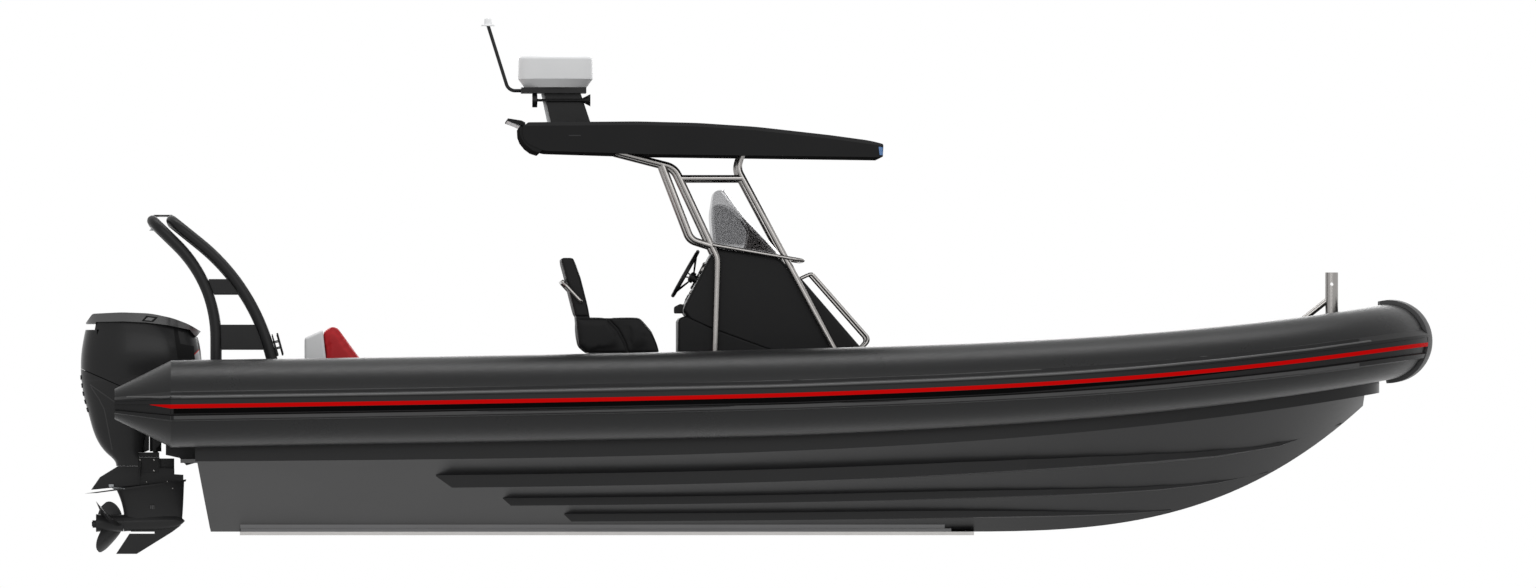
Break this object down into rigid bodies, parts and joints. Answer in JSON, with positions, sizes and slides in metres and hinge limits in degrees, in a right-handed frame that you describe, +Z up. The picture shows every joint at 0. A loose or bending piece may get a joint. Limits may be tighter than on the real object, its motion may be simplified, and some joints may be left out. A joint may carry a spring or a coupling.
{
  "type": "rigid inflatable boat",
  "caption": "Rigid inflatable boat: deep-V hull, inflatable collar, console with T-top and radar, two seats, aft arch, and an outboard engine that steers and tilts.",
  "frame": {"origin": "on the centreline at the waterline, about midships", "axes": "+X to the bow, +Y to port, +Z up from the water"},
  "size_m": [9.1926, 3.0076, 3.643],
  "materials": {
    "collar": "matt coated fabric",
    "black_rubber": "matt",
    "red": "satin",
    "hull": "gelcoat",
    "deck": "non-slip",
    "steel": "polished",
    "black_paint": "satin",
    "white_moulding": "gloss",
    "black_moulding": "satin gelcoat",
    "red_cushion": "satin",
    "black_cushion": "satin",
    "smoked": "smoked",
    "engine_metal": "gloss",
    "engine_black": "gloss",
    "cast_metal": "cast"
  },
  "bodies": {
    "boat": {"collar_port": "collar", "collar_starboard": "collar", "collar_bow": "collar", "stern_cones": "collar", "rub_strake": "black_rubber", "red_stripe": "red", "bow_patch": "black_rubber", "hull": "hull", "cockpit_sole": "deck", "bow_step": "deck", "bow_deck": "deck", "keel_strip": "steel", "transom_board": "hull", "arch_aft_hoop": "black_paint", "arch_front_hoop": "black_paint", "arch_plates": "black_paint", "aft_seat_base": "white_moulding", "aft_seat_back": "red_cushion", "aft_seat_cushion": "red_cushion", "helm_seat_back": "black_cushion", "helm_seat_cushion": "black_cushion", "helm_seat_bolster": "black_cushion", "helm_seat_frame": "steel", "helm_seat_handle": "steel", "console_lower": "black_moulding", "console_upper": "black_moulding", "throttle": "black_paint", "windscreen": "smoked", "ttop_roof": "black_moulding", "ttop_frame_port": "steel", "ttop_frame_starboard": "steel", "console_rail": "steel", "front_rails": "steel", "radar_mast": "black_paint", "radome": "white_moulding", "antenna_pole": "black_paint", "horn": "black_paint", "mooring_post": "steel", "clamp_bracket": "engine_metal", "steering_column": "black_paint"},
    "tilt_unit": {"swivel_bracket": "engine_metal"},
    "engine": {"steer_yoke": "engine_metal", "engine_lower_cowl": "engine_black", "engine_cowl": "engine_black", "engine_cap": "engine_black", "power_head": "cast_metal", "gearcase": "engine_metal"},
    "screw": {"propeller": "engine_metal"},
    "wheel": {"steering_wheel": "black_paint"}
  },
  "joints": [
    {"name": "engine_tilt", "type": "hinge", "parent": "boat", "child": "tilt_unit", "pos_m": [-4.06, 0, 0.52], "axis": [0, 1, 0], "range_deg": [0, 65]},
    {"name": "engine_steer", "type": "hinge", "parent": "tilt_unit", "child": "engine", "pos_m": [-4.163, 0, 0.3], "axis": [0, 0, 1], "range_deg": [-30, 30]},
    {"name": "propeller_spin", "type": "hinge", "parent": "engine", "child": "screw", "pos_m": [-4.381, 0, -0.3937], "axis": [0.9994, 0, 0.0349], "continuous": true},
    {"name": "wheel_turn", "type": "hinge", "parent": "boat", "child": "wheel", "pos_m": [-0.565, -0.15, 1.3], "axis": [-0.8698, 0, 0.4934], "range_deg": [-720, 720]}
  ]
}
